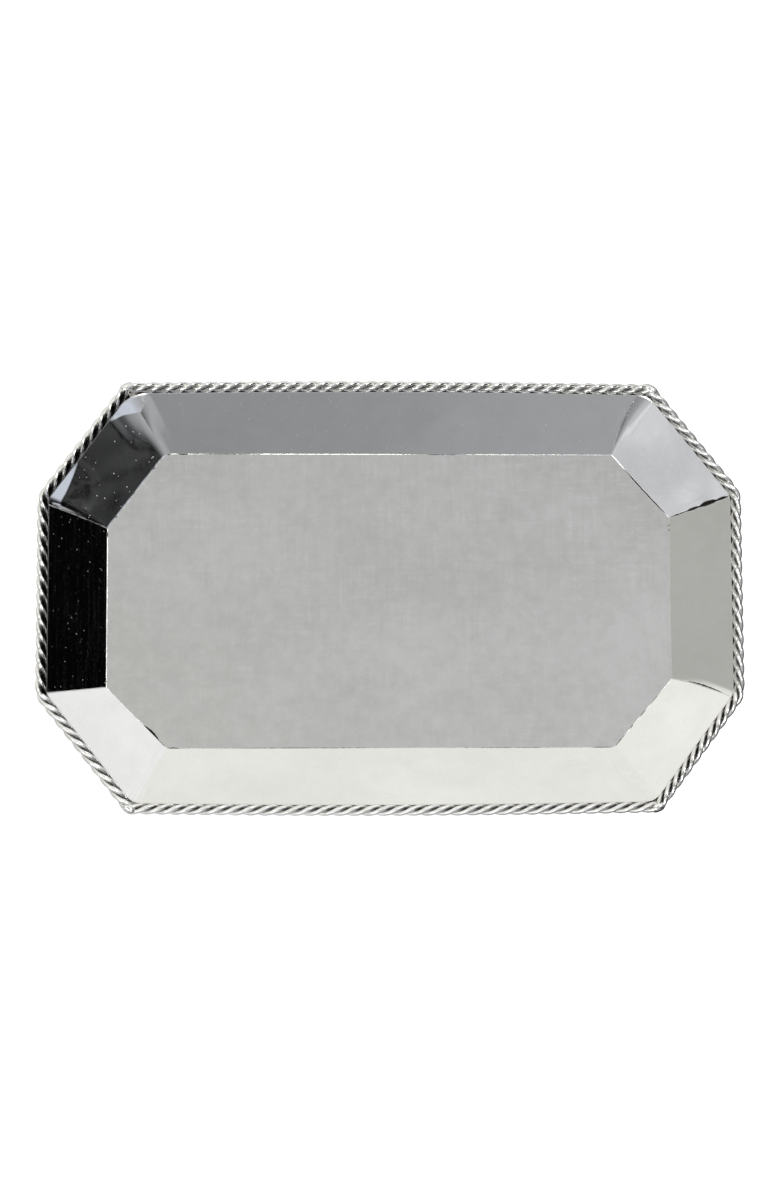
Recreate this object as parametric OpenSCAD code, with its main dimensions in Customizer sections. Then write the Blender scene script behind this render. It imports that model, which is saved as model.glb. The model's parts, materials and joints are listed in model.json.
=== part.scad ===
// Long octagonal serving tray: a flat floor, eight sloping walls of sheet metal soldered edge to
// edge, and a rim of twisted wire rope soldered along the walls' top edges.
// Millimetres, +Z up. The origin is under the middle of the floor, on the surface that the tray
// stands on, and the long axis lies along X.

/* [Floor] */
// Length of the floor plate along X
floor_length = 371; // [320:1:420]
// Width of the floor plate along Y
floor_width = 194; // [160:1:220]
// Length that each corner takes off a long side of the floor
floor_cut_x = 38.5; // [25:0.5:50]
// Length that each corner takes off an end of the floor
floor_cut_y = 44; // [25:0.5:55]
// Thickness of the floor and wall sheet
sheet = 1.2; // [0.8:0.1:2]

/* [Walls] */
// Height of the walls' top edge above the table
wall_height = 26; // [18:0.5:36]
// Length along X between the top edges of the two end walls
rim_length = 442; // [430:1:480]
// Width along Y between the top edges of the two long walls, at their ends
rim_width = 264; // [250:1:290]
// Length that each corner takes off a long side of the rim
rim_cut_x = 52.5; // [40:0.5:65]
// Length that each corner takes off an end of the rim
rim_cut_y = 69; // [50:0.5:80]
// How far the top edge of a long wall bows outward at its middle
side_bow = 1.6; // [0:0.1:4]

/* [Rope] */
// Diameter of the rope around its three strands
rope_d = 7.2; // [5:0.1:9]
// Length in which a strand goes once around the rope
rope_lay = 28.4; // [20:0.2:40]
// Height of the rope's centre above the walls' top edge
rope_rise = 1; // [0.5:0.1:2]
// Gap between two rope ends, filled by solder
rope_gap = 3; // [2:0.5:6]

/* [Hand work] */
// How far the corners stray from a true octagon: 0 is true, 1 is as made by hand
hand_slip = 1; // [0:0.1:1]

/* [Hidden] */
// Sides and corners are numbered counter-clockwise from above. Side i runs from corner i to the next.
SIDES = ["right", "back_right", "back", "back_left", "left", "front_left", "front", "front_right"];
// Long sides, whose top edges bow outward
LONG_SIDES = [2, 6];
// The rope is four lengths. Each lies along these sides, in this order.
ROPES = ["back", "left", "front", "right"];
ROPE_SIDES = [[2], [3, 4, 5], [6], [7, 0, 1]];
STRANDS = ["a", "b", "c"];

// Slip of each corner along its own side, from corner 0 on, in millimetres towards +X or +Y
FLOOR_SLIP = hand_slip * [1, 2, 0.5, -1, -5.5, -4, 1, 0];
RIM_SLIP = hand_slip * [0, 3, -0.5, -1, 0.5, 1, 2.5, 0.5];

wall_steps = 12;                    // strips along each wall
seam_clearance = 0.1;               // floor and wall seams stay this far above the table
seam_crown = 0.5;                   // how far a wall seam stands out of its groove
edge_slope = atan2(wall_height - sheet, (rim_length - floor_length) / 2);

rope_r = rope_d / 2;
rope_offset = 0.4;                  // the rope's inner side, outward from the walls' top edge
rope_out = rope_r + rope_offset;    // the rope's centre line, outward from the same edge
rope_z = wall_height + rope_rise;
strand_share = 0.43;                // strand radius over rope radius: three strands all but touch
strand_r = rope_r * strand_share;
strand_orbit = rope_r - strand_r;   // radius of the helix that a strand's centre follows
strand_sides = 6;
rings_per_lay = 8;
rope_step = rope_lay / rings_per_lay;
bend_reach = 9;                     // a rope bend starts and ends this far from its corner
bend_steps = 5;

solder_drop = 2;                    // rope solder reaches this far down a wall's outer face
solder_angles = [190, 215, 250];    // where rope solder meets the rope, turning up from outward
cap_h = 0.2;                        // the two discs whose hull is a rope joint
cap_r = rope_r * 0.94;
cap_sides = 28;

function unit(v) = v / norm(v);
function next(i) = (i + 1) % 8;
function last(i) = (i + 7) % 8;
function lerp(a, b, u) = a + (b - a) * u;
function at_height(p, z) = [p.x, p.y, z];
function is_long(i) = len([for (side = LONG_SIDES) if (side == i) side]) > 0;

function octagon(length, width, cut_x, cut_y, slip) =
    let (x = length / 2, y = width / 2, side_x = x - cut_x, side_y = y - cut_y)
    [
        [x, slip[0] - side_y], [x, slip[1] + side_y],
        [slip[2] + side_x, y], [slip[3] - side_x, y],
        [-x, slip[4] + side_y], [-x, slip[5] - side_y],
        [slip[6] - side_x, -y], [slip[7] + side_x, -y]
    ];

floor_corners = octagon(floor_length, floor_width, floor_cut_x, floor_cut_y, FLOOR_SLIP);
rim_corners = octagon(rim_length, rim_width, rim_cut_x, rim_cut_y, RIM_SLIP);

// Level unit vectors of side i of the rim: along it, and square to it away from the tray
function along(i) = unit(rim_corners[next(i)] - rim_corners[i]);
function outward(i) = [along(i).y, -along(i).x];

// Corner i of the rim's outline moved outward by a distance
function rim_corner(i, out) =
    let (a = outward(last(i)), b = outward(i))
    rim_corners[i] + (a + b) * out / (1 + a * b);

// Point on side i of that outline, at fraction u of its length, with the side's bow
function rim_point(i, out, u) =
    lerp(rim_corner(i, out), rim_corner(next(i), out), u)
    + outward(i) * (is_long(i) ? side_bow * 4 * u * (1 - u) : 0);

// Inner points of wall i at fraction u of its length: its foot on the floor and its top edge
function wall_foot(i, u) = at_height(lerp(floor_corners[i], floor_corners[next(i)], u), sheet);
function wall_top(i, u) = at_height(rim_point(i, 0, u), wall_height);

// Vector through the sheet of wall i, from its inner face to its outer face
function wall_skin(i) =
    sheet * unit(cross(at_height(along(i), 0), wall_top(i, 0.5) - wall_foot(i, 0.5)));

// Solid through a list of rings, which all have the same number of points. Looking from the first
// ring to the last, the points of a ring go clockwise.
module loft(rings) {
    sides = len(rings[0]);
    last_ring = len(rings) - 1;
    skin = [
        for (k = [0:last_ring - 1], j = [0:sides - 1])
        let (a = k * sides + j, b = k * sides + (j + 1) % sides)
        each [[a, b, b + sides], [a, b + sides, a + sides]]
    ];
    caps = [
        [for (j = [sides - 1:-1:0]) j],
        [for (j = [0:sides - 1]) last_ring * sides + j]
    ];
    polyhedron(points = [for (ring = rings) each ring], faces = concat(skin, caps));
}

module floor_plate() {
    color("silver")
    linear_extrude(sheet)
    polygon(floor_corners);
}

// One wall: a strip of sheet from the floor's edge to the rim
module wall(i) {
    skin = wall_skin(i);
    color("gainsboro")
    loft([
        for (k = [0:wall_steps])
        let (foot = wall_foot(i, k / wall_steps), top = wall_top(i, k / wall_steps))
        [foot, top, top + skin, foot + skin]
    ]);
}

// Solder in the groove under a wall's foot, against the edge of the floor plate
module floor_seam(i) {
    color("darkgray")
    loft([
        for (u = [0, 1])
        let (foot = wall_foot(i, u))
        [foot, foot + wall_skin(i), at_height(foot, seam_clearance)]
    ]);
}

// Solder in the groove where two walls meet at corner i, a little proud of their outer faces
module wall_seam(i) {
    before = wall_skin(last(i));
    after = wall_skin(i);
    crown = unit(before + after) * (sheet + seam_crown);
    color("darkgray")
    loft([
        for (inner = [wall_foot(i, 0), wall_top(i, 0)])
        let (tip = inner + crown)
        [inner, inner + before, at_height(tip, max(tip.z, seam_clearance)), inner + after]
    ]);
}

// Centre line of the rope along side i, leaving out a length at each end
function straight_run(i, lead, trail) =
    let (
        length = norm(rim_corner(next(i), rope_out) - rim_corner(i, rope_out)),
        run = length - lead - trail,
        steps = ceil(run / rope_step)
    )
    [for (k = [0:steps]) rim_point(i, rope_out, (lead + run * k / steps) / length)];

// Points of the rounded bend at corner i, between the runs on each side of it
function bend(i) =
    let (
        corner = rim_corner(i, rope_out),
        start = corner - along(last(i)) * bend_reach,
        end = corner + along(i) * bend_reach
    )
    [
        for (k = [1:bend_steps - 1])
        let (u = k / bend_steps)
        lerp(lerp(start, corner, u), lerp(corner, end, u), u)
    ];

// Whole centre line of a rope along its sides, from one soldered end to the other
function rope_line(sides) = [
    for (k = [0:len(sides) - 1])
    let (
        first = k == 0,
        final = k == len(sides) - 1,
        lead = first ? rope_gap / 2 : bend_reach,
        trail = final ? rope_gap / 2 : bend_reach
    )
    each concat(first ? [] : bend(sides[k]), straight_run(sides[k], lead, trail))
];

// Distance along a line to each of its points
function distances(line) = [
    for (
        k = 0, s = 0;
        k < len(line);
        s = s + (k + 1 < len(line) ? norm(line[k + 1] - line[k]) : 0),
        k = k + 1
    )
    s
];

// Direction of a line of points at point k
function heading(line, k) = unit(line[min(k + 1, len(line) - 1)] - line[max(k - 1, 0)]);

// Centre line of one strand: a left-handed helix around the rope's centre line
function strand_line(line, turn) =
    let (run = distances(line))
    [
        for (k = [0:len(line) - 1])
        let (
            angle = turn + 360 * run[k] / rope_lay,
            level = heading(line, k),
            out = line[k] + [level.y, -level.x] * strand_orbit * cos(angle)
        )
        at_height(out, rope_z + strand_orbit * sin(angle))
    ];

// One wire of the rope along a list of sides. Turn sets where it starts around the rope.
module rope_strand(sides, turn) {
    line = rope_line(sides);
    centres = strand_line(line, turn);
    color("whitesmoke")
    loft([
        for (k = [0:len(line) - 1])
        let (
            ahead = heading(centres, k),
            off_axis = centres[k] - at_height(line[k], rope_z),
            radial = unit(off_axis - ahead * (off_axis * ahead)),
            across = cross(ahead, radial)
        )
        [
            for (j = [0:strand_sides - 1])
            let (angle = 360 * j / strand_sides)
            centres[k] + strand_r * (radial * cos(angle) + across * sin(angle))
        ]
    ]);
}

// Section of the solder bead between the rope and a wall, as [outward, up] from the wall's top edge
function rope_side(angle) = [rope_out, rope_rise] + rope_r * [cos(angle), sin(angle)];
bead_section = [
    [0, 0],
    rope_side(solder_angles[0]),
    rope_side(solder_angles[1]),
    rope_side(solder_angles[2]),
    sheet * [sin(edge_slope), -cos(edge_slope)] - solder_drop * [cos(edge_slope), sin(edge_slope)],
    sheet * [sin(edge_slope), -cos(edge_slope)]
];

// Solder that holds one rope to the walls behind it, along all of its sides
module rope_solder(sides) {
    color("darkgray")
    loft([
        for (i = sides, k = [i == sides[0] ? 0 : 1:wall_steps])
        [
            for (p = bead_section)
            at_height(rim_point(i, p.x, k / wall_steps), wall_height + p.y)
        ]
    ]);
}

// Round end of a rope at corner i: way is -1 for the rope before the corner, 1 for the one after
module rope_end(i, way) {
    side = way < 0 ? last(i) : i;
    p = rim_corner(i, rope_out) + along(side) * way * rope_gap / 2;
    translate([p.x, p.y, rope_z])
    rotate([0, 90, atan2(along(side).y, along(side).x)])
    cylinder(h = cap_h, r = cap_r, center = true, $fn = cap_sides);
}

// Lump of solder that joins two ropes end to end at corner i
module rope_joint(i) {
    color("gainsboro")
    hull() {
        rope_end(i, -1);
        rope_end(i, 1);
    }
}

floor_plate();
for (i = [0:7]) {
    wall(i);
    floor_seam(i);
    wall_seam(i);
}
for (r = [0:3]) {
    for (s = [0:2])
        rope_strand(ROPE_SIDES[r], 120 * s);
    rope_solder(ROPE_SIDES[r]);
    rope_joint(ROPE_SIDES[r][0]);
}
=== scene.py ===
"""Looks of the octagonal serving tray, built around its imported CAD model.

Every length is in metres and every angle in radians, in the CAD model's own frame: X along the tray,
Y across it and Z up, with the origin under the middle of the floor. Sides and corners are numbered
counter-clockwise from above, and side i runs from corner i to corner i + 1.
"""
import json
import math
from functools import cache

import bpy
import numpy as np
from mathutils import Matrix, Vector, noise

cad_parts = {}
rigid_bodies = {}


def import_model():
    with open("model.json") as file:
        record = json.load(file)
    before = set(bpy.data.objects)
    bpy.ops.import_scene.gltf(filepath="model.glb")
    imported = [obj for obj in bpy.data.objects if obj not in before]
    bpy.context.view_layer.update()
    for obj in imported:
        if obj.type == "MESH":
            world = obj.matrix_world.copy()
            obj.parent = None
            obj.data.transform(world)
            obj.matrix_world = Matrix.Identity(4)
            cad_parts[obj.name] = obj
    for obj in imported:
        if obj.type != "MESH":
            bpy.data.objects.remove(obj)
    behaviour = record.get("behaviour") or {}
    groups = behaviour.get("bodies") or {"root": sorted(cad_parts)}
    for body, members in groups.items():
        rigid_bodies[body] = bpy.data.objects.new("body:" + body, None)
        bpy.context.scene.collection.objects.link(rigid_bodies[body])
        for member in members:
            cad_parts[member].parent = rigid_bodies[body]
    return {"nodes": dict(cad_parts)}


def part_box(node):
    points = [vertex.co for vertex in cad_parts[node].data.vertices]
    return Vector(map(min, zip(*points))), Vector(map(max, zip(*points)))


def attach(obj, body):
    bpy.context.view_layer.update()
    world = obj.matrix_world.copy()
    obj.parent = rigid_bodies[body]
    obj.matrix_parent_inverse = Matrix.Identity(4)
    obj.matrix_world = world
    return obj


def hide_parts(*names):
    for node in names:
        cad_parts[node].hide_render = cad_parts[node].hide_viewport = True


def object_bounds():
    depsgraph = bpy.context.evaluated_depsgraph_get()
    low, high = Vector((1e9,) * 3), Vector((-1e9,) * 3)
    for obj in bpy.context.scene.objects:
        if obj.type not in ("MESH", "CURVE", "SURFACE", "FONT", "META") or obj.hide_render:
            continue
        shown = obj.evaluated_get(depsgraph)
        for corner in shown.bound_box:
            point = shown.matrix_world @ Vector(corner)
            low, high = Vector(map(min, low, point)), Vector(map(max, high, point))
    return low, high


MM = 0.001
SIDES = ["right", "back_right", "back", "back_left", "left", "front_left", "front", "front_right"]
ROPE_SIDES = {"back": [2], "left": [3, 4, 5], "front": [6], "right": [7, 0, 1]}
STRANDS = ["a", "b", "c"]
LONG_SIDES = (2, 6)
UP = np.array([0.0, 0.0, 1.0])
# Two points closer than this are the same point
TOUCH = 0.01 * MM
# How far apart in noise space two seeds that differ by one are
SEED_STEPS = (7.31, 3.77, 5.13)


# ---------------------------------------------------------------- small helpers

def unit(v):
    return v / np.linalg.norm(v)


def mix(a, b, u):
    return a + (b - a) * u


def ramp(low, high, x):
    """Smooth step from 0 at low to 1 at high."""
    u = min(max((x - low) / (high - low), 0), 1)
    return u * u * (3 - 2 * u)


def wobble(point, scale, seed):
    """Smooth noise from about -1 to 1 at a point.

    Scale is the size of its blobs in metres, and the seed picks the pattern.
    """
    return noise.noise(Vector(point) / scale + Vector([seed * step for step in SEED_STEPS]))


def add_mesh(name, points, faces, material, sharp=math.radians(40)):
    """A smooth-shaded mesh object with sharp edges where faces meet at more than an angle."""
    mesh = bpy.data.meshes.new(name)
    mesh.from_pydata([tuple(p) for p in points], [], faces)
    mesh.validate()
    mesh.update()
    mesh.shade_smooth()
    mesh.set_sharp_from_angle(angle=sharp)
    mesh.materials.append(material)
    piece = bpy.data.objects.new(name, mesh)
    bpy.context.scene.collection.objects.link(piece)
    return piece


def add_piece(name, points, faces, material, nodes, sharp=math.radians(40)):
    """A piece of the tray that stands for CAD nodes: it hangs from the root body and hides those nodes."""
    piece = add_mesh(name, points, faces, material, sharp)
    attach(piece, "root")
    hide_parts(*nodes)
    return piece


def store(piece, name, values):
    """Gives a mesh a named number at each vertex, for its material to read."""
    layer = piece.data.attributes.new(name, "FLOAT", "POINT")
    layer.data.foreach_set("value", np.asarray(values, np.float32))


def loft(rings):
    """Points and faces of a tube with closed ends through rings that have the same number of points.

    Looking from the first ring to the last, the points of a ring go clockwise.
    """
    rings = np.asarray(rings)
    count, sides = rings.shape[:2]
    faces = []
    for k in range(count - 1):
        for j in range(sides):
            a = k * sides + j
            b = k * sides + (j + 1) % sides
            faces.append((a, a + sides, b + sides, b))
    faces.append(tuple(range(sides)))
    faces.append(tuple(range(count * sides - 1, (count - 1) * sides - 1, -1)))
    return rings.reshape(-1, 3), faces


def graded(length, fine, coarse, zone):
    """Fractions from 0 to 1 along a length, at fine steps near each end and coarse ones between.

    The steps widen from half the zone's length to one and a half times it.
    """
    marks = [0.0]
    while marks[-1] < length / 2:
        marks.append(marks[-1] + mix(fine, coarse, ramp(zone / 2, zone * 1.5, marks[-1])))
    half = [m / marks[-1] / 2 for m in marks]
    return half + [1 - h for h in reversed(half[:-1])]


# ---------------------------------------------------------------- what the frame says

def node_points(node):
    """Different vertex positions of a CAD node, as an array of rows."""
    points = np.array([v.co for v in frame["nodes"][node].data.vertices])
    return np.unique(np.round(points, 6), axis=0)


def highest_point(node):
    points = node_points(node)
    return points[points[:, 2].argmax()]


# Blender's own starting cube, lamp and camera are not wanted
for leftover in list(bpy.data.objects):
    bpy.data.objects.remove(leftover)
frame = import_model()
cad_low, cad_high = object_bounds()

plate = node_points("floor_plate")
sheet = plate[:, 2].max()
floor_top = plate[plate[:, 2] > sheet / 2]
floor_top = floor_top[np.argsort(np.arctan2(floor_top[:, 1], floor_top[:, 0]))]
# Corner 0 is the front end of the right side: the rightmost corner with a negative y
front_right = [k for k in range(8) if floor_top[k, 1] < 0 < floor_top[k, 0]]
FLOOR = np.roll(floor_top, -max(front_right, key=lambda k: floor_top[k, 0]), axis=0)
RIM = np.array([highest_point("wall_seam_" + side) for side in SIDES])
wall_height = RIM[0, 2]
back_wall_points = node_points("back_wall")
back_wall_edge = back_wall_points[back_wall_points[:, 2] > wall_height - TOUCH]
side_bow = back_wall_edge[:, 1].max() - RIM[2, 1]
strand_low, strand_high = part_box("right_rope_strand_a")
rope_r = (strand_high.z - strand_low.z) / 2
rope_z = (strand_high.z + strand_low.z) / 2
rope_out = cad_high[0] - rope_r - RIM[0, 0]
# Length of rope in which each of its wires goes round once
rope_lay = 28.4 * MM


# ---------------------------------------------------------------- the rim's outline

# How far from each corner the walls' top edge and the rope start to bend round it
WALL_BEND = np.array([3, 3, 8, 14, 3, 2, 8, 8]) * MM
ROPE_BEND = np.array([5, 5, 2, 2, 5, 5, 2, 2]) * MM


@cache
def along(i):
    """Unit vector along side i, counter-clockwise."""
    return unit((RIM[(i + 1) % 8] - RIM[i % 8])[:2])


@cache
def outward(i):
    """Unit vector out of the tray, square to side i."""
    return np.array([along(i)[1], -along(i)[0]])


@cache
def rim_corner(i, out):
    """Corner i of the rim's outline, moved outward by a distance."""
    a, b = outward(i - 1), outward(i)
    return RIM[i % 8][:2] + (a + b) * out / (1 + a @ b)


@cache
def side_length(i, out=0.0):
    return np.linalg.norm(rim_corner(i + 1, out) - rim_corner(i, out))


def bowed(i, out, u):
    """Point at fraction u of side i of the outline, moved outward, with the long sides' slight bow."""
    bow = side_bow * 4 * u * (1 - u) if i % 8 in LONG_SIDES else 0
    return mix(rim_corner(i, out), rim_corner(i + 1, out), u) + outward(i) * bow


def rim_line(s, out, bends):
    """Point of the outline at s, where the whole part of s is the side and the rest its fraction."""
    i = math.floor(s)
    u = s - i
    length = side_length(i, out)
    for corner, gap, sign in ((i, u * length, 1), (i + 1, (1 - u) * length, -1)):
        reach = bends[corner % 8]
        if gap < reach:
            start = bowed(corner - 1, out, 1 - reach / side_length(corner - 1, out))
            end = bowed(corner, out, reach / side_length(corner, out))
            w = 0.5 + sign * 0.5 * gap / reach
            middle = rim_corner(corner, out)
            return mix(mix(start, middle, w), mix(middle, end, w), w)
    return bowed(i, out, u)


# ---------------------------------------------------------------- materials

def node_tree(name):
    material = bpy.data.materials.new(name)
    material.use_nodes = True
    material.node_tree.nodes.clear()
    return material, material.node_tree


def add_node(tree, kind, values=None, links=None, **settings):
    """A shader node. Values sets its inputs, and links maps an input to another node's output."""
    node = tree.nodes.new(kind)
    for key, value in settings.items():
        setattr(node, key, value)
    for key, value in (values or {}).items():
        node.inputs[key].default_value = value
    for key, socket in (links or {}).items():
        tree.links.new(socket, node.inputs[key])
    return node


def map_range(tree, socket, low, high, to_low, to_high):
    values = {"From Min": low, "From Max": high, "To Min": to_low, "To Max": to_high}
    return add_node(tree, "ShaderNodeMapRange", values, {"Value": socket}, clamp=True).outputs[0]


def blend_color(tree, factor, a, b):
    """Mix of two colours. Each is a socket or a tuple."""
    node = add_node(tree, "ShaderNodeMix", data_type="RGBA")
    for socket, value in ((node.inputs[0], factor), (node.inputs[6], a), (node.inputs[7], b)):
        if isinstance(value, bpy.types.NodeSocket):
            tree.links.new(value, socket)
        else:
            socket.default_value = value
    return node.outputs[2]


def math_node(tree, operation, a, b=0.0):
    node = add_node(tree, "ShaderNodeMath", operation=operation)
    for socket, value in zip(node.inputs, (a, b)):
        if isinstance(value, bpy.types.NodeSocket):
            tree.links.new(value, socket)
        else:
            socket.default_value = value
    return node.outputs[0]


def noise_socket(tree, place, scale, detail=2.0, roughness=0.5, stretch=(1, 1, 1)):
    """Noise over the object's own space. Scale is in blobs per metre."""
    mapping = add_node(tree, "ShaderNodeMapping", {"Scale": stretch}, {"Vector": place})
    values = {"Scale": scale, "Detail": detail, "Roughness": roughness}
    return add_node(tree, "ShaderNodeTexNoise", values, {"Vector": mapping.outputs[0]}).outputs[0]


def polished_metal(name, clean, dull, rough_low, rough_high):
    """Silver-coloured plate: a little uneven in tone, with fine scratches and specks of dust."""
    material, tree = node_tree(name)
    place = add_node(tree, "ShaderNodeTexCoord").outputs["Object"]
    cloud = noise_socket(tree, place, 14, 3, stretch=(0.6, 1, 1))
    fine_cloud = noise_socket(tree, place, 110, 4, 0.7)
    polish = map_range(tree, math_node(tree, "ADD", cloud, fine_cloud), 0.8, 1.2, 0, 1)
    color = blend_color(tree, polish, dull, clean)
    scratch = noise_socket(tree, place, 900, 2, 0.6, stretch=(0.03, 1, 1))
    cross_scratch = noise_socket(tree, place, 700, 2, 0.6, stretch=(1, 0.04, 1))
    lines = math_node(tree, "MULTIPLY", scratch, cross_scratch)
    rough = map_range(tree, lines, 0.2, 0.4, rough_low, rough_high)
    bump = add_node(tree, "ShaderNodeBump", {"Strength": 0.05, "Distance": 0.02 * MM}, {"Height": lines})
    metal = add_node(
        tree, "ShaderNodeBsdfPrincipled",
        {"Metallic": 1.0},
        {"Base Color": color, "Roughness": rough, "Normal": bump.outputs[0]},
    )
    specks = add_node(tree, "ShaderNodeTexVoronoi", {"Scale": 300.0}, {"Vector": place})
    speck_size = map_range(tree, specks.outputs["Distance"], 0.08, 0.16, 1, 0)
    chosen = map_range(tree, noise_socket(tree, place, 200, 1), 0.46, 0.56, 0, 1)
    dusty = add_node(tree, "ShaderNodeAttribute", attribute_name="dust").outputs["Fac"]
    cover = math_node(tree, "MULTIPLY", math_node(tree, "MULTIPLY", speck_size, chosen), dusty)
    lint = add_node(tree, "ShaderNodeBsdfDiffuse", {"Color": (0.8, 0.8, 0.8, 1)})
    both = add_node(
        tree, "ShaderNodeMixShader",
        links={0: cover, 1: metal.outputs[0], 2: lint.outputs[0]},
    )
    add_node(tree, "ShaderNodeOutputMaterial", links={"Surface": both.outputs[0]})
    return material


def rope_metal():
    """Drawn silver-coloured wire, darker down in the grooves between the strands, with painted dark
    reflections on the rope's inner flanks.
    """
    material, tree = node_tree("rope_wire_metal")
    place = add_node(tree, "ShaderNodeTexCoord").outputs["Object"]
    groove = add_node(tree, "ShaderNodeAttribute", attribute_name="groove").outputs["Fac"]
    patches = noise_socket(tree, place, 420, 3)
    depth = map_range(tree, math_node(tree, "ADD", groove, patches), 1.15, 1.6, 0, 1)
    worn = map_range(tree, noise_socket(tree, place, 130, 2), 0.35, 0.65, 0, 1)
    silver = blend_color(tree, worn, (0.97, 0.965, 0.95, 1), (0.88, 0.87, 0.84, 1))
    clean = blend_color(tree, depth, silver, (0.58, 0.57, 0.54, 1))
    # Painted dark reflection: the rope's inner flanks are coloured near black where the metal would mirror
    # dark surroundings
    dark_reflection = add_node(tree, "ShaderNodeAttribute", attribute_name="dark_reflection").outputs["Fac"]
    streaks = math_node(tree, "ADD", dark_reflection, map_range(tree, patches, 0.3, 0.7, -0.12, 0.12))
    black = map_range(tree, streaks, 0.1, 0.9, 0, 1)
    color = blend_color(tree, black, clean, (0.012, 0.012, 0.011, 1))
    worn_dull = add_node(tree, "ShaderNodeAttribute", attribute_name="dull").outputs["Fac"]
    rough = math_node(tree, "ADD", map_range(tree, patches, 0.3, 0.7, 0.06, 0.16), worn_dull)
    dents = noise_socket(tree, place, 700, 2)
    bump = add_node(tree, "ShaderNodeBump", {"Strength": 0.35, "Distance": 0.2 * MM}, {"Height": dents})
    metal = add_node(
        tree, "ShaderNodeBsdfPrincipled",
        {"Metallic": 1.0},
        {"Base Color": color, "Roughness": rough, "Normal": bump.outputs[0]},
    )
    add_node(tree, "ShaderNodeOutputMaterial", links={"Surface": metal.outputs[0]})
    return material


def solder_metal():
    """Bright solder, softer in gloss than the sheet, with painted black shade in its open cracks."""
    material, tree = node_tree("solder_metal")
    place = add_node(tree, "ShaderNodeTexCoord").outputs["Object"]
    crack_shade = add_node(tree, "ShaderNodeAttribute", attribute_name="crack_shade").outputs["Fac"]
    patches = noise_socket(tree, place, 420, 4)
    bright = map_range(tree, patches, 0.35, 0.65, 0, 1)
    pale = blend_color(tree, bright, (0.80, 0.79, 0.76, 1), (0.96, 0.96, 0.94, 1))
    # Painted shade: the bottoms of open cracks are coloured black and not metal
    crack_black = map_range(tree, crack_shade, 0.25, 0.75, 0, 1)
    color = blend_color(tree, crack_black, pale, (0.012, 0.011, 0.010, 1))
    uneven = map_range(tree, patches, 0.3, 0.7, 0.28, 0.14)
    rough = math_node(tree, "ADD", uneven, map_range(tree, crack_shade, 0.3, 0.8, 0, 0.4))
    pits = noise_socket(tree, place, 1500, 3)
    bump = add_node(tree, "ShaderNodeBump", {"Strength": 0.25, "Distance": 0.08 * MM}, {"Height": pits})
    metal = add_node(
        tree, "ShaderNodeBsdfPrincipled",
        {"Specular IOR Level": 0.1},
        {
            "Base Color": color,
            "Roughness": rough,
            "Normal": bump.outputs[0],
            "Metallic": math_node(tree, "SUBTRACT", 1.0, crack_black),
        },
    )
    add_node(tree, "ShaderNodeOutputMaterial", links={"Surface": metal.outputs[0]})
    return material


floor_metal = polished_metal(
    "floor_sheet_metal", (0.96, 0.96, 0.955, 1), (0.86, 0.86, 0.85, 1), 0.10, 0.22
)
wall_metal = polished_metal(
    "wall_sheet_metal", (0.95, 0.95, 0.945, 1), (0.91, 0.91, 0.90, 1), 0.05, 0.12
)
wire_metal = rope_metal()
seam_metal = solder_metal()

# How dusty the floor, the walls named and the other walls are, from 0 to 1
FLOOR_DUST = 0.25
WALL_DUST = {"back_left": 1.0, "left": 0.35, "back": 0.3}
OTHER_WALL_DUST = 0.15


# ---------------------------------------------------------------- floor sheet

def floor_dish(x, y, inset):
    """Height of hand-planishing waves in the floor, fading out towards its soldered edge."""
    broad = 0.16 * MM * wobble((x, y, 0), 34 * MM, 1)
    fine = 0.09 * MM * wobble((x, y, 0), 15 * MM, 2)
    flat_margin = 14 * MM
    return (broad + fine) * ramp(0, flat_margin, inset)


def make_floor():
    """The floor sheet: rings of points from its middle out to its edge, on the top and on the bottom."""
    rings, crowding, edge_step = 70, 0.85, 2.2 * MM
    half_width = FLOOR[2, 1]
    edge = []
    for i in range(8):
        a, b = FLOOR[i], FLOOR[(i + 1) % 8]
        steps = math.ceil(np.linalg.norm(b - a) / edge_step)
        edge += [mix(a, b, k / steps) for k in range(steps)]
    edge = np.array(edge)
    count = len(edge)
    points, faces = [], []
    for level, sign in ((sheet, 1), (0.0, -1)):
        base = len(points)
        points.append((0, 0, level + floor_dish(0, 0, half_width)))
        for k in range(1, rings + 1):
            share = (k / rings) ** crowding
            for p in edge:
                x, y = p[0] * share, p[1] * share
                inset = (1 - share) * math.hypot(p[0], p[1])
                points.append((x, y, max(level + floor_dish(x, y, inset), 0.0)))
        for j in range(count):
            after = (j + 1) % count
            face = (base, base + 1 + j, base + 1 + after)
            faces.append(face if sign > 0 else face[::-1])
            for k in range(rings - 1):
                a = base + 1 + k * count + j
                b = base + 1 + k * count + after
                quad = (a, a + count, b + count, b)
                faces.append(quad if sign > 0 else quad[::-1])
    top_edge = 1 + (rings - 1) * count
    low_edge = top_edge + 1 + rings * count
    for j in range(count):
        after = (j + 1) % count
        faces.append((top_edge + j, low_edge + j, low_edge + after, top_edge + after))
    piece = add_piece("floor_sheet", points, faces, floor_metal, ["floor_plate"])
    store(piece, "dust", [FLOOR_DUST] * len(points))
    return piece


# ---------------------------------------------------------------- walls

# How far each wall join lies along the rim from the rope's corner, counter-clockwise
JOIN_SHIFT = np.array([-2.5, 0, 7, 0, 4, 0, 0, 3.8]) * MM
# How far each join bows along the rim halfway up the walls
JOIN_BOW = np.array([2.0, 0, 1.8, 0, -0.4, 0, 0, 0]) * MM
# How far the foot of the walls rounds each corner of the floor
FOOT_BEND = np.array([0.3, 0.3, 0.6, 5, 0.3, 0.3, 3, 3]) * MM
# Corners where the sheet rolls outward under the rope, each with the share of the wall's height that
# rolls, the reach along the wall that ends at the corner, and the reach along the wall that starts there
FLARES = {3: (0.22, 14 * MM, 24 * MM), 4: (0.19, 37 * MM, 0)}
FLARE_TILT = math.radians(9)
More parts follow.
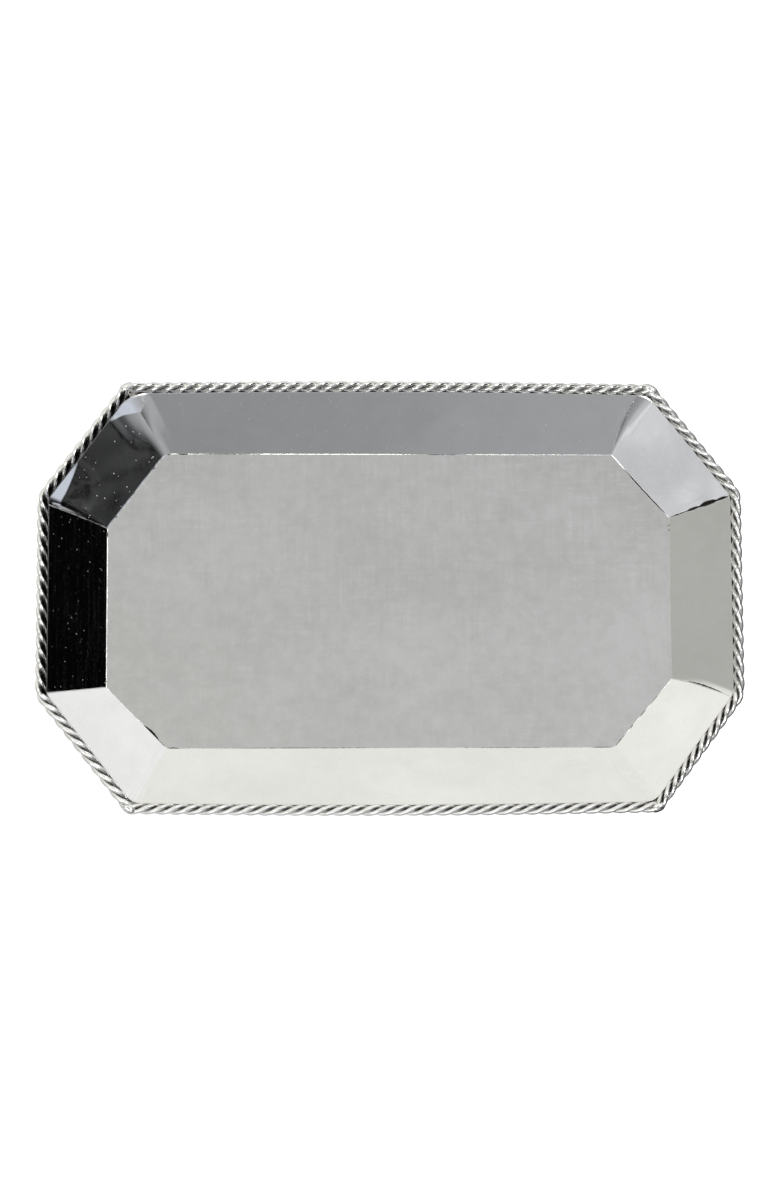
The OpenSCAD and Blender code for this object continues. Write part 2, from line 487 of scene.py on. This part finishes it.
# How uneven a roll's lower edge is, as a share of its width
FLARE_RAGGED = 0.12
# How far down the wall the sheet starts to rise towards a roll, as a multiple of the roll's share
FLARE_RISE = 3.5
# The last part of a roll's reach, as a share of it, over which the roll eases into the flat wall
FLARE_EASE = 0.35
# A wall's width up its slope
WALL_WIDTH = 44 * MM
# How far from a join the wall's normal turns towards the join's
JOIN_TURN = 14 * MM
# How far from a join the wall's waves fade
JOIN_CALM = 7 * MM
# How far from a join the wall bows with it
BOW_REACH = 25 * MM
# Corners where the two walls meet in a soft bend
SOFT_CORNERS = (2, 3, 6, 7)


@cache
def join_at(i):
    """Where on the rim the join near corner i lies, counted as in rim_line."""
    shift = JOIN_SHIFT[i % 8]
    return i + shift / side_length(i if shift > 0 else i - 1)


@cache
def wall_ends(i):
    end = join_at(i + 1) if i < 7 else 8 + join_at(0)
    return join_at(i), end


@cache
def wall_top(i, t):
    """Top edge of wall i at fraction t, between its two joins."""
    start, end = wall_ends(i)
    x, y = rim_line(mix(start, end, t), 0, WALL_BEND)
    return np.array([x, y, wall_height])


@cache
def wall_foot(i, t):
    """Foot of wall i at fraction t, which rounds the floor's corners a little."""
    a, b = FLOOR[i % 8], FLOOR[(i + 1) % 8]
    length = np.linalg.norm(b - a)
    for corner, other, far, gap in (
        (a, FLOOR[(i - 1) % 8], b, t * length),
        (b, FLOOR[(i + 2) % 8], a, (1 - t) * length),
    ):
        reach = FOOT_BEND[i % 8] if corner is a else FOOT_BEND[(i + 1) % 8]
        if gap < reach:
            start = corner + unit(other - corner) * reach
            end = corner + unit(far - corner) * reach
            w = 0.5 + 0.5 * gap / reach
            return mix(mix(start, corner, w), mix(corner, end, w), w)
    return mix(a, b, t)


@cache
def wall_normal(i):
    """Unit vector out of the back of wall i: outward and down."""
    run = np.append(along(i), 0)
    return unit(np.cross(run, wall_top(i, 0.5) - wall_foot(i, 0.5)))


@cache
def join_normal(i):
    """Unit vector out of the back of the join at corner i."""
    return unit(wall_normal((i - 1) % 8) + wall_normal(i % 8))


def flare_lift(corner, before, gap, v, ragged):
    """How far the rolled edge near a corner lifts a point of the wall off its chord.

    Before is true on the wall that ends at the corner, gap is the distance to the corner, and v runs
    from 0 at the wall's foot to 1 at its top.
    """
    share, reach_before, reach_after = FLARES[corner]
    reach = reach_before if before else reach_after
    start = 1 - FLARE_RISE * share
    if gap >= reach or v < start:
        return 0.0
    fade = 1 - gap / reach
    width = share * fade * (1 + FLARE_RAGGED * ragged)
    peak = math.tan(FLARE_TILT) * width * WALL_WIDTH * ramp(0, FLARE_EASE, fade)
    profile = ramp(start, 1 - width, v) if v < 1 - width else (1 - v) / width
    if corner not in SOFT_CORNERS:
        # A soldered join holds the sheet down
        profile *= ramp(0, 2 * MM, gap)
    return peak * profile


def wall_push(i, t, v, point, length):
    """Vector by which hand work moves a point of wall i from the flat sheet."""
    near_start, near_end = t * length, (1 - t) * length
    own = wall_normal(i)
    out = mix(join_normal(i), own, ramp(0, JOIN_TURN, near_start))
    out = unit(mix(join_normal(i + 1), out, ramp(0, JOIN_TURN, near_end)))
    calm = ramp(0, JOIN_CALM, near_start) * ramp(0, JOIN_CALM, near_end) * math.sin(math.pi * v)
    broad = 0.24 * MM * wobble(point, 42 * MM, 10 + i)
    fine = 0.09 * MM * wobble(point, 16 * MM, 20 + i)
    push = (broad + fine) * calm
    for corner, gap, before in ((i, near_start, False), ((i + 1) % 8, near_end, True)):
        if corner in FLARES:
            push -= flare_lift(corner, before, gap, v, wobble(wall_top(i, t), 9 * MM, 33))
    moved = out * push
    tangent = np.append(along(i), 0)
    for corner, gap in ((i, near_start), ((i + 1) % 8, near_end)):
        near = 1 - ramp(0, BOW_REACH, gap)
        moved = moved + tangent * JOIN_BOW[corner] * math.sin(math.pi * v) * near
    return moved


def wall_point(i, t, v, length):
    """Point on the inner face of wall i, a fraction t along it and v up it."""
    point = mix(wall_foot(i, t), wall_top(i, t), v)
    return point + wall_push(i, t, v, point, length)


@cache
def wall_length(i):
    return np.linalg.norm(wall_top(i, 1) - wall_top(i, 0))


def make_wall(i):
    """Wall i as one sheet: rings round its section, from one join to the other."""
    normal = wall_normal(i)
    length = wall_length(i)
    across = graded(WALL_WIDTH, fine=0.6 * MM, coarse=1.3 * MM, zone=12 * MM)
    rings = []
    for t in graded(length, fine=0.5 * MM, coarse=2.2 * MM, zone=34 * MM):
        inner = [wall_point(i, t, v, length) for v in across]
        outer = [p + normal * sheet for p in reversed(inner)]
        rings.append(inner + outer)
    points, faces = loft(rings)
    side = SIDES[i]
    piece = add_piece(side + "_wall_sheet", points, faces, wall_metal, [side + "_wall"])
    store(piece, "dust", [WALL_DUST.get(side, OTHER_WALL_DUST)] * len(points))
    return piece


# ---------------------------------------------------------------- rope

# A wire's radius as a share of the rope's
WIRE_SHARE = 0.43
# How many degrees the wires' winding strays from even
WIND_SLIP = 9


def rope_span(sides):
    """First and last side of a rope, counted on past 7 where the rope passes corner 0."""
    first, final = sides[0], sides[-1]
    return first, final if final >= first else final + 8


def rope_path(sides):
    """Centre line of a rope as points at even steps, and the distance along it to each."""
    end_gap, points_per_side, steps_per_lay = 1.5 * MM, 400, 26
    first, final = rope_span(sides)
    marks = [i + k / points_per_side for i in range(first, final + 1) for k in range(points_per_side)]
    marks.append(final + 1)
    dense = np.array([rim_line(s, rope_out, ROPE_BEND) for s in marks])
    run = np.concatenate([[0], np.cumsum(np.linalg.norm(np.diff(dense, axis=0), axis=1))])
    steps = round((run[-1] - 2 * end_gap) / (rope_lay / steps_per_lay))
    even = np.linspace(end_gap, run[-1] - end_gap, steps + 1)
    line = np.stack([np.interp(even, run, dense[:, 0]), np.interp(even, run, dense[:, 1])], axis=1)
    return line, even - end_gap


# How black the painted dark reflection is in the rope's grooves next to each wall, from 0 to 1
PAINTED_DARK_REFLECTION = {
    "right": 0.50, "back_right": 0.45, "back": 0.50, "back_left": 1.00,
    "left": 1.00, "front_left": 0.60, "front": 0.65, "front_right": 0.85,
}
# Sides where the painted dark reflection covers only the bottoms of the grooves, and how deep in a groove
# it starts there
NARROW_DARK_REFLECTION = ("front_left", "front", "front_right")
NARROW_START = 0.30
# The groove's depth over which the painted dark reflection turns full, from 0 at the rope's outside to 1 at
# its heart
DARK_REFLECTION_EDGE = 0.12
# Where the painted dark reflection starts and is full, as distances in from the rope's centre line over its
# radius
DARK_REFLECTION_INSIDE = (-0.25, 0.20)
# Roughness that wear adds to the rope on each side
DULL = {"front": 0.30, "front_left": 0.22, "back_left": 0.05, "left": 0.05}


def nearest_side(p):
    """The side of the tray that a point of the rope runs along."""
    reach = [(p[:2] - RIM[i][:2]) @ outward(i) for i in range(8)]
    return SIDES[int(np.argmax(reach))]


def make_strand(rope, number):
    """One of a rope's three wires, wound round the rope's centre line.

    Groove is 0 at the outside of the rope and 1 at its heart, for each point of the wire.
    """
    sides = 14
    wire_r = rope_r * WIRE_SHARE
    orbit = rope_r - wire_r
    line, run = rope_path(ROPE_SIDES[rope])
    level = np.gradient(line, axis=0)
    level /= np.linalg.norm(level, axis=1)[:, None]
    centres = []
    for p, s, d in zip(line, run, level):
        slip = WIND_SLIP * wobble((p[0], p[1], 0), 40 * MM, 31)
        angle = math.radians(120 * number + 360 * s / rope_lay + slip)
        out = p + np.array([d[1], -d[0]]) * orbit * math.cos(angle)
        centres.append((out[0], out[1], rope_z + orbit * math.sin(angle)))
    centres = np.array(centres)
    heading = np.gradient(centres, axis=0)
    rings, groove, dark_reflection, dull = [], [], [], []
    for p, c, d, way in zip(line, centres, heading, level):
        ahead = unit(d)
        off = c - np.array([p[0], p[1], rope_z])
        radial = unit(off - ahead * (off @ ahead))
        side = np.cross(ahead, radial)
        ring = []
        near = nearest_side(p)
        start = NARROW_START if near in NARROW_DARK_REFLECTION else 0.0
        for j in range(sides):
            angle = 2 * math.pi * j / sides
            reach = radial * math.cos(angle) + side * math.sin(angle)
            dent = 1 - 0.05 * abs(wobble(c + reach * wire_r, 3 * MM, 40 + number))
            spot = c + reach * wire_r * dent
            ring.append(spot)
            deep = 0.5 - 0.5 * math.cos(angle)
            groove.append(deep)
            # Painted dark reflection, near black on the rope's inner flank and down in its grooves,
            # stronger on some sides
            inside = (p - spot[:2]) @ np.array([way[1], -way[0]]) / rope_r
            cover = ramp(*DARK_REFLECTION_INSIDE, inside) * ramp(start, start + DARK_REFLECTION_EDGE, deep)
            dark_reflection.append(PAINTED_DARK_REFLECTION[near] * cover)
            dull.append(DULL.get(near, 0.0))
        rings.append(ring)
    points, faces = loft(rings)
    node = f"{rope}_rope_strand_{STRANDS[number]}"
    piece = add_piece(node + "_wire", points, faces, wire_metal, [node], math.radians(60))
    store(piece, "groove", groove)
    store(piece, "dark_reflection", dark_reflection)
    store(piece, "dull", dull)
    return piece


# ---------------------------------------------------------------- solder

# Solder along each wall's foot: its width on each side in millimetres, then unfilled cracks as
# (start, end, width in millimetres) with start and end as fractions along the foot, counter-clockwise
FOOT_SEAMS = {
    "right": (0.40, [(0.02, 0.90, 0.07), (0.915, 0.932, 0.40), (0.943, 0.960, 0.50)]),
    "back_right": (0.50, [(0.02, 0.80, 0.70)]),
    "back": (0.55, [(0.30, 0.47, 0.20), (0.785, 0.945, 0.18), (0.948, 0.972, 0.45), (0.988, 0.997, 0.5)]),
    "back_left": (0.95, [(0.18, 0.21, 0.3), (0.52, 0.55, 0.2), (0.83, 0.86, 0.25)]),
    "left": (0.55, [(0.02, 0.06, 0.2)]),
    "front_left": (0.40, [(0.05, 0.50, 0.12), (0.62, 0.88, 1.5), (0.84, 1.00, 0.25)]),
    "front": (0.38, [(0.0, 0.03, 0.6), (0.03, 0.56, 0.22), (0.58, 0.93, 0.18), (0.94, 1.0, 0.35)]),
    "front_right": (0.45, [(0.0, 0.20, 0.3), (0.27, 0.33, 0.4), (0.44, 0.56, 0.3), (0.62, 0.80, 0.2)]),
}
# Solder inside each wall join: half its width and its height in millimetres, then cracks as above, with
# fractions from the foot up. Where the height is under 0, all the solder is beneath the sheet.
JOIN_SEAMS = {
    0: (0.30, 0.05, [(0.26, 0.88, 0.70)]),
    1: (0.45, 0.10, [(0.02, 0.32, 0.7), (0.28, 0.56, 1.5), (0.50, 0.84, 2.8), (0.78, 1.0, 1.6)]),
    2: (0.30, 0.14, []),
    3: (0.06, -0.02, []),
    4: (0.38, 0.24, [(0.04, 0.45, 0.35), (0.40, 0.62, 0.22)]),
    5: (0.22, 0.05, []),
    6: (0.06, -0.02, []),
    7: (0.06, -0.02, []),
}
# The join whose line of solder thins out halfway up
FADING_JOIN = 2
# A crack from this many millimetres up keeps a smooth outline
WIDE_CRACK = 1.2
# A crack from this wide is painted black all over, as shade in its gap
FULL_BLACK = 0.25 * MM


def crack_width(cracks, t, place):
    """Width at t of the widest crack there, ragged along its length, in metres."""
    width = 0.0
    for start, end, most in cracks:
        if start < t < end:
            swell = math.sin(math.pi * (t - start) / (end - start)) ** 0.8
            unevenness = 0.6 if most < WIDE_CRACK else 0.15
            ragged = 1 + unevenness * wobble(place, 1.6 * MM, 95)
            width = max(width, most * MM * swell * ragged)
    return width


def make_floor_seam(i):
    """Solder fillet inside the tray along wall i's foot, and the bead in the groove below it."""
    side = SIDES[i]
    size, cracks = FOOT_SEAMS[side]
    normal = wall_normal(i)
    inward = -np.append(outward(i), 0)
    # How far the fillet's edges and the bottom of a crack stand off the sheet
    skin, bed = 0.01 * MM, 0.02 * MM
    # Where the fillet's points lie, from its edge on the floor at 0 to its edge on the wall at 1
    fillet = (0, 0.22, 0.42, 0.56, 0.74, 1)
    steps = round(np.linalg.norm(wall_foot(i, 1) - wall_foot(i, 0)) / (0.7 * MM))
    rings, crack_shade = [], []
    for k in range(steps + 1):
        t = k / steps
        foot = wall_foot(i, t)
        up_wall = unit(wall_top(i, t) - foot)
        crack = crack_width(cracks, t, foot)
        ragged = 1 + 0.45 * wobble(foot, 6 * MM, 50 + i) + 0.2 * wobble(foot, 2 * MM, 58)
        reach = size * ragged * MM
        floor_end = foot + inward * (reach + crack) + UP * skin
        wall_end = foot + up_wall * reach * 1.1 - normal * skin
        ring = [mix(mix(floor_end, foot, u), mix(foot, wall_end, u), u) for u in fillet]
        dark = [0.0] * len(ring)
        # The bottom of an open crack carries painted black shade
        if crack > TOUCH:
            ring[2] = foot + inward * crack + UP * bed
            ring[3] = foot + UP * bed
            dark[2] = dark[3] = min(crack / FULL_BLACK, 1.0)
        ring += [
            foot + up_wall * reach * 0.6 + normal * 0.3 * MM,
            foot + normal * sheet,
            foot - UP * (sheet - 0.1 * MM),
        ]
        rings.append(ring)
        crack_shade += dark + [0.0] * 3
    points, faces = loft(rings)
    node = side + "_floor_seam"
    piece = add_piece(node + "_solder", points, faces, seam_metal, [node], math.radians(50))
    store(piece, "crack_shade", crack_shade)
    return piece


def make_wall_seam(i):
    """Solder where two walls meet at corner i: a thin line inside, a lumpy bead outside."""
    before, after = wall_normal((i - 1) % 8), wall_normal(i)
    crown = join_normal(i)
    half, height, cracks = JOIN_SEAMS[i]
    last_length, own_length = wall_length((i - 1) % 8), wall_length(i)
    # How far the edges of the line of solder stand off the sheet, or lie beneath it
    sunk = 0.02 * MM
    shown = 0.012 * MM if height > 0 else -sunk
    nearby, low_limit = 3 * MM, 0.1 * MM
    steps = 90
    rings, crack_shade = [], []
    for k in range(steps + 1):
        v = k / steps
        inner = wall_point(i, 0, v, own_length)
        toward_last = unit(wall_point((i - 1) % 8, 1 - nearby / last_length, v, last_length) - inner)
        toward_own = unit(wall_point(i, nearby / own_length, v, own_length) - inner)
        crack = crack_width(cracks, v, inner)
        ragged = 1 + 0.5 * wobble(inner, 3 * MM, 66 + i)
        reach = max(half * ragged * MM, crack * 0.9)
        lift = height * ragged * MM
        if i == FADING_JOIN:
            fade = 1 - ramp(0.40, 0.55, v)
            reach *= max(fade, 0.2)
            lift = mix(-sunk, lift, fade)
        bulge = (0.45 + 0.3 * wobble(inner, 4 * MM, 60 + i)) * MM
        burr = crack * 0.35 * abs(wobble(inner, 1.1 * MM, 97))
        ring = [
            inner + toward_own * reach - crown * shown,
            inner + toward_own * reach * 0.5 - crown * (lift * 0.75 + burr + shown),
            inner - crown * (lift + shown),
            inner + toward_last * reach * 0.5 - crown * (lift * 0.75 + shown),
            inner + toward_last * reach - crown * shown,
            inner + before * sheet,
            inner + unit(crown + 0.5 * before) * (sheet + bulge * 0.8),
            inner + crown * (sheet + bulge),
            inner + unit(crown + 0.5 * after) * (sheet + bulge * 0.8),
            inner + after * sheet,
        ]
        rings.append([np.array([p[0], p[1], max(p[2], low_limit)]) for p in ring])
        # Painted black shade in the crack, blacker as the crack widens
        dark = min(crack / FULL_BLACK, 1.0)
        crack_shade += [dark * 0.3, dark, dark, dark * 0.5, 0, 0, 0, 0, 0, 0]
    points, faces = loft(rings)
    node = "wall_seam_" + SIDES[i]
    piece = add_piece(node + "_solder", points, faces, seam_metal, [node], math.radians(50))
    store(piece, "crack_shade", crack_shade)
    return piece


def direction(degrees):
    """Unit vector in a section across the rim, with its angle counted from outward towards up."""
    a = math.radians(degrees)
    return np.array([math.cos(a), math.sin(a)])


def rope_edge(degrees):
    """Point just inside the rope's skin, as (out, up) from the walls' top edge."""
    return np.array([rope_out, rope_z - wall_height]) + rope_r * 0.97 * direction(degrees)


def make_rope_solder(rope):
    """Solder between a rope and the walls behind it."""
    sides = ROPE_SIDES[rope]
    first, final = rope_span(sides)
    just_before_end = final + 0.9999
    steps = round(sum(side_length(i) for i in sides) / (1.5 * MM))
    normal = wall_normal(0)
    # The top edge of the sheet's back face, and the way up that face
    back_edge = sheet * np.array([math.hypot(normal[0], normal[1]), normal[2]])
    up_back = direction(35)
    rings = []
    for k in range(steps + 1):
        s = min(mix(first, final + 1, k / steps), just_before_end)
        x, y = rim_line(s, 0, WALL_BEND)
        fill = 1 + 0.25 * wobble((x, y, 0), 5 * MM, 70)
        # Round the section: under the walls' top edge, along the rope's skin, then up the walls' back
        section = [
            np.array([0, -0.1 * MM]),
            rope_edge(192 + 6 * (fill - 1)),
            rope_edge(215),
            rope_edge(228 + 20 * fill),
            back_edge - 1.6 * MM * fill * up_back,
            back_edge,
        ]
        ring = []
        for out, up in section:
            bends = mix(WALL_BEND, ROPE_BEND, min(out / rope_out, 1))
            x, y = rim_line(s, out, bends)
            ring.append((x, y, wall_height + up))
        rings.append(ring)
    points, faces = loft(rings)
    node = rope + "_rope_solder"
    return add_piece(node + "_bead", points, faces, seam_metal, [node], math.radians(50))


def make_rope_joint(rope):
    """Lump of solder that joins two ropes at the corner where this rope starts."""
    corner = ROPE_SIDES[rope][0]
    x, y = rim_corner(corner, rope_out)
    centre = np.array([x, y, rope_z])
    run = np.append(unit(along(corner - 1) + along(corner)), 0)
    out = np.append(unit(outward(corner - 1) + outward(corner)), 0)
    half_length, lump_r, bluntness = 4.6 * MM, rope_r * 0.9, 0.6
    rows, columns = 14, 22
    rings = []
    for r in range(1, rows):
        polar = math.pi * r / rows
        ring = []
        for c in range(columns):
            angle = -2 * math.pi * c / columns
            around = out * math.cos(angle) + UP * math.sin(angle)
            way = around * math.sin(polar) ** bluntness * lump_r - run * math.cos(polar) * half_length
            swell = 1 + 0.10 * wobble(centre + way, 3 * MM, 80 + corner)
            ring.append(centre + way * min(swell, 1.04))
        rings.append(ring)
    points, faces = loft(rings)
    node = rope + "_rope_joint"
    return add_piece(node + "_lump", points, faces, seam_metal, [node], math.radians(60))


make_floor()
for i in range(8):
    make_wall(i)
    make_floor_seam(i)
    make_wall_seam(i)
for rope in ROPE_SIDES:
    for number in range(3):
        make_strand(rope, number)
    make_rope_solder(rope)
    make_rope_joint(rope)


# ---------------------------------------------------------------- camera, floor and light

# Share of the light that a polished wall sends back
MIRROR_SHARE = 0.93
# Tints of the light
PLAIN = (1.0, 1.0, 1.0)
WARM = (1.0, 1.0, 0.95)
COOL = (0.97, 0.985, 1.02)
BLUE = (0.92, 0.98, 1.10)

# Light seen low over the horizon, as (degrees counter-clockwise from +X, sRGB level, tint)
LOW_SKY = [
    (-180, 169, WARM), (-150, 206, COOL), (-136, 204, COOL), (-116, 172, COOL), (-104, 146, COOL),
    (-94, 141, COOL), (-88, 144, COOL), (-82, 157, COOL), (-68, 166, COOL), (-58, 150, COOL),
    (-50, 126, COOL), (-43, 88, COOL), (-37, 56, COOL), (-27, 46, COOL), (-14, 10, COOL),
    (0, 3, COOL), (16, 4, COOL), (26, 150, COOL), (33, 231, PLAIN), (60, 234, PLAIN),
    (87, 227, WARM), (135, 233, WARM), (158, 215, WARM),
    (170, 169, WARM), (180, 169, WARM),
]
# Light seen at about 55 degrees up
HIGH_SKY = [
    (-180, 150, WARM), (-130, 165, COOL), (-100, 150, COOL), (-70, 165, COOL), (-50, 203, BLUE),
    (-30, 200, BLUE), (-12, 40, COOL), (10, 10, COOL), (30, 60, COOL), (48, 215, COOL), (60, 232, COOL),
    (120, 225, WARM), (155, 180, WARM), (180, 160, WARM),
]
# Light seen overhead, leaning to the front and to the back
ZENITH_FRONT = 187
ZENITH_BACK = 175
# Where the zenith turns from front to back, and where its front loses its warm tint towards the right, as
# the y and the x of a unit vector
ZENITH_TO_BACK = (-0.02, 0.20)
ZENITH_TO_RIGHT = (-0.10, 0.05)
# Elevations over which the low sky gives way to the high one, and the high one to the zenith
LOW_TO_HIGH = (38, 48)
HIGH_TO_TOP = (62, 74)
# Parts of the sky with stronger clouds, as (azimuth, elevation, half the width, half the height) in degrees
DARK_CLOUDS = (-27, 20, 10, 22)
HAZE = (-145, 30, 16, 14)
# Small bright lamps, placed in the same way, with a strength at the end
LAMPS = [(-104, 58, 20, 4, 7.0), (26, 58, 22, 4, 7.0), (-150, 57, 22, 4, 6.0), (125, 57, 18, 4, 3.0)]


def tone(level, tint=PLAIN):
    """Linear light that a polished wall mirrors as a given sRGB level."""
    share = level / 255
    linear = share / 12.92 if share <= 0.04045 else ((share + 0.055) / 1.055) ** 2.4
    return tuple(linear / MIRROR_SHARE * t for t in tint) + (1,)


def azimuth_ramp(tree, turn, stops):
    """Colour of the sky round the horizon, for a turn that runs from 0 at -180 degrees to 1 at 180."""
    node = add_node(tree, "ShaderNodeValToRGB", links={"Fac": turn})
    elements = node.color_ramp.elements
    for degrees, level, tint in stops[1:-1]:
        elements.new((degrees + 180) / 360).color = tone(level, tint)
    elements[0].color = tone(*stops[0][1:])
    elements[-1].color = tone(*stops[-1][1:])
    return node.outputs[0]


def weighted_sum(tree, x, x_weight, y, y_weight):
    x_part = math_node(tree, "MULTIPLY", x, x_weight)
    return math_node(tree, "ADD", x_part, math_node(tree, "MULTIPLY", y, y_weight))


def elevation_range(tree, z, low, high):
    """0 to 1 for a way whose height z over the horizon goes between two elevations in degrees."""
    return map_range(tree, z, math.sin(math.radians(low)), math.sin(math.radians(high)), 0, 1)


def sky_bar(tree, x, y, z, azimuth, elevation, width, height):
    """1 inside a bar of the sky and 0 outside it, with soft edges."""
    a, w = math.radians(azimuth), math.radians(width)
    across = weighted_sum(tree, x, math.cos(a), y, math.sin(a))
    reach = math_node(tree, "SQRT", weighted_sum(tree, x, x, y, y))
    facing = math_node(tree, "DIVIDE", across, reach)
    beside = map_range(tree, facing, math.cos(w * 1.3), math.cos(w), 0, 1)
    low, high = math.radians(elevation - height), math.radians(elevation + height)
    soft = math.radians(1)
    above = map_range(tree, z, math.sin(low - soft), math.sin(low + soft), 0, 1)
    below = map_range(tree, z, math.sin(high - soft), math.sin(high + soft), 1, 0)
    return math_node(tree, "MULTIPLY", beside, math_node(tree, "MULTIPLY", above, below))


def make_world():
    """The studio as the metal mirrors it: a low sky, a high sky, the zenith, clouds and lamps."""
    world = bpy.data.worlds.new("studio")
    world.use_nodes = True
    tree = world.node_tree
    tree.nodes.clear()
    way = add_node(tree, "ShaderNodeTexCoord").outputs["Generated"]
    parts = add_node(tree, "ShaderNodeSeparateXYZ", links={"Vector": way})
    x, y, z = parts.outputs
    turn = map_range(tree, math_node(tree, "ARCTAN2", y, x), -math.pi, math.pi, 0, 1)
    low = azimuth_ramp(tree, turn, LOW_SKY)
    high = azimuth_ramp(tree, turn, HIGH_SKY)
    to_high = elevation_range(tree, z, *LOW_TO_HIGH)
    to_top = elevation_range(tree, z, *HIGH_TO_TOP)
    to_back = map_range(tree, y, *ZENITH_TO_BACK, 0, 1)
    to_right = map_range(tree, x, *ZENITH_TO_RIGHT, 0, 1)
    front = blend_color(tree, to_right, tone(ZENITH_FRONT, WARM), tone(ZENITH_FRONT))
    zenith = blend_color(tree, to_back, front, tone(ZENITH_BACK))
    sky = blend_color(tree, to_top, blend_color(tree, to_high, low, high), zenith)
    noise_values = {"Scale": 17.0, "Detail": 4.0}
    clouds = add_node(tree, "ShaderNodeTexNoise", noise_values, {"Vector": way}).outputs[0]
    uneven = map_range(tree, clouds, 0.3, 0.7, 0.95, 1.05)
    strong = map_range(tree, clouds, 0.36, 0.66, 0.25, 2.1)
    patchy = map_range(tree, clouds, 0.38, 0.64, 0.86, 1.22)
    for bar, clouded in ((DARK_CLOUDS, strong), (HAZE, patchy)):
        inside = sky_bar(tree, x, y, z, *bar)
        uneven = add_node(tree, "ShaderNodeMix", links={0: inside, 2: uneven, 3: clouded}).outputs[0]
    sky = add_node(tree, "ShaderNodeVectorMath", links={0: sky, 1: uneven}, operation="MULTIPLY").outputs[0]
    for *bar, strength in LAMPS:
        sky = blend_color(tree, sky_bar(tree, x, y, z, *bar), sky, (strength, strength, strength, 1))
    seen = add_node(tree, "ShaderNodeLightPath").outputs["Is Camera Ray"]
    shown = blend_color(tree, seen, sky, (1, 1, 1, 1))
    light = add_node(tree, "ShaderNodeBackground", links={"Color": shown})
    add_node(tree, "ShaderNodeOutputWorld", links={"Surface": light.outputs[0]})
    bpy.context.scene.world = world


def make_table():
    """Pale table top that the tray stands on, plain and even to the camera."""
    material, tree = node_tree("pale_table")
    place = add_node(tree, "ShaderNodeTexCoord").outputs["Object"]
    grain = map_range(tree, noise_socket(tree, place, 40, 2), 0.3, 0.7, 0.84, 0.86)
    x, y = add_node(tree, "ShaderNodeSeparateXYZ", links={"Vector": place}).outputs[:2]
    # The metal mirrors a table that darkens to the right and, more slowly, to the front
    front_share, bright_until, dark_from = 0.35, 0.02, 0.24
    away = math_node(tree, "SUBTRACT", x, math_node(tree, "MULTIPLY", y, front_share))
    shade = map_range(tree, away, bright_until, dark_from, 0.62, 0.04)
    mirrored = add_node(tree, "ShaderNodeLightPath").outputs["Is Glossy Ray"]
    glow_strength = add_node(tree, "ShaderNodeMix", links={0: mirrored, 2: grain, 3: shade}).outputs[0]
    matte_color = blend_color(tree, mirrored, (0.6, 0.6, 0.6, 1), (0.02, 0.02, 0.02, 1))
    matte = add_node(tree, "ShaderNodeBsdfDiffuse", links={"Color": matte_color})
    glow = add_node(tree, "ShaderNodeEmission", {"Color": (1, 1, 1, 1)}, {"Strength": glow_strength})
    both = add_node(tree, "ShaderNodeAddShader", links={0: matte.outputs[0], 1: glow.outputs[0]})
    add_node(tree, "ShaderNodeOutputMaterial", links={"Surface": both.outputs[0]})
    half, z = 4.0, -0.2 * MM
    points = [(-half, -half, z), (half, -half, z), (half, half, z), (-half, half, z)]
    add_mesh("table_top", points, [(0, 1, 2, 3)], material)


def make_card():
    """A pale card to the right of the tray, which only the metal mirrors."""
    material, tree = node_tree("pale_card")
    place = add_node(tree, "ShaderNodeTexCoord").outputs["Object"]
    strength = map_range(tree, noise_socket(tree, place, 12, 2), 0.3, 0.7, 0.6, 0.8)
    glow = add_node(tree, "ShaderNodeEmission", {"Color": (1, 1, 0.98, 1)}, {"Strength": strength})
    add_node(tree, "ShaderNodeOutputMaterial", links={"Surface": glow.outputs[0]})
    x, half, low, high = 0.45, 0.25, 0.12, 0.22
    points = [(x, -half, low), (x, half, low), (x, half, high), (x, -half, high)]
    card = add_mesh("side_card", points, [(0, 1, 2, 3)], material)
    card.visible_camera = False
    card.visible_diffuse = False
    card.visible_shadow = False


def make_camera():
    """Camera almost straight above, leaning a little to the front and to the left."""
    distance, off_centre = 1.404, -1.0 * MM
    target = Vector((off_centre, off_centre, rope_z))
    to_left, to_front = math.radians(2.13), math.radians(5.55)
    lean = Vector((-math.sin(to_left), -math.sin(to_front), 1)).normalized()
    right = (Vector((1, 0, 0)) - lean * lean.x).normalized()
    above = lean.cross(right)
    data = bpy.data.cameras.new("camera")
    data.lens = 65.4
    data.clip_start = 0.05
    data.clip_end = 20
    camera = bpy.data.objects.new("camera", data)
    turn = Matrix((right, above, lean)).transposed().to_4x4()
    camera.matrix_world = Matrix.Translation(target + lean * distance) @ turn
    bpy.context.scene.collection.objects.link(camera)
    bpy.context.scene.camera = camera


make_world()
make_table()
make_card()
make_camera()
bpy.context.scene.view_settings.view_transform = "Standard"
